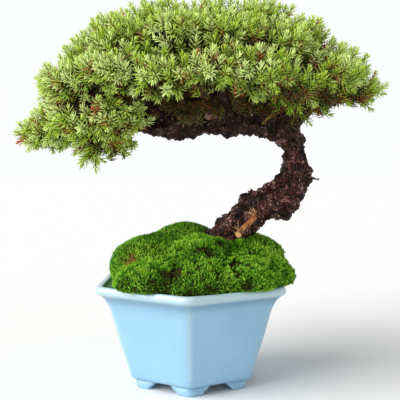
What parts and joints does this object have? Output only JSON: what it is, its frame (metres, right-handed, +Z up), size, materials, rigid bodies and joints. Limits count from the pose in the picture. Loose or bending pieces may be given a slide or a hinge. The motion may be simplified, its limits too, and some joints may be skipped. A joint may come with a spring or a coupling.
{
  "type": "bonsai tree in a pot",
  "caption": "Windswept dwarf juniper bonsai with a doubled-back limb, umbrella of needle pads, moss mound and six-sided pale blue glazed pot on bracket feet.",
  "frame": {"origin": "under the middle of the whole object's box, on the surface that the six feet stand on", "axes": "+Z up; -Y is the front, where one corner of the pot points; +X is the side the trunk leans to, and the limb runs back towards -X"},
  "size_m": [0.3054, 0.1978, 0.3181],
  "materials": {
    "glaze": "pale blue gloss glaze, paler where it runs thin on edges",
    "bark": "rough, scaly and flaking",
    "needles": "matte, with a pale waxy band on each needle",
    "moss": "matte and velvety",
    "soil": "matte, crumbly",
    "mesh_plastic": "matte moulded",
    "staple_wire": "dull copper-coloured wire"
  },
  "bodies": {
    "root": {"drainage_mesh": "mesh_plastic", "mesh_staple": "staple_wire", "moss_back_left": "moss", "moss_back_middle": "moss", "moss_back_right": "moss", "moss_centre": "moss", "moss_front_left": "moss", "moss_front_middle": "moss", "moss_front_right": "moss", "moss_left_crown": "moss", "moss_right_crown": "moss", "moss_right_edge": "moss", "moss_top_crown": "moss", "pad_back_centre": "needles", "pad_back_centre_left": "needles", "pad_back_left": "needles", "pad_back_left_low": "needles", "pad_back_right": "needles", "pad_back_right_outer": "needles", "pad_front_centre": "needles", "pad_front_centre_left": "needles", "pad_front_centre_right": "needles", "pad_front_left_inner": "needles", "pad_front_left_low": "needles", "pad_front_left_middle": "needles", "pad_front_left_upper": "needles", "pad_front_right": "needles", "pad_front_right_outer": "needles", "pad_hanging_shoot": "needles", "pad_left_crest": "needles", "pad_left_middle": "needles", "pad_left_tip": "needles", "pad_left_upper": "needles", "pad_right_crest": "needles", "pad_right_low": "needles", "pad_right_tip": "needles", "pad_right_upper": "needles", "pad_shoulder_back_centre": "needles", "pad_shoulder_back_left": "needles", "pad_shoulder_back_middle": "needles", "pad_shoulder_back_right": "needles", "pad_shoulder_front_centre": "needles", "pad_shoulder_front_left": "needles", "pad_shoulder_front_middle": "needles", "pad_shoulder_front_right": "needles", "pad_top_left": "needles", "pad_top_middle": "needles", "pad_top_right": "needles", "pad_underside_left": "needles", "pot": "glaze", "soil": "soil", "trunk": "bark"}
  },
  "joints": []
}
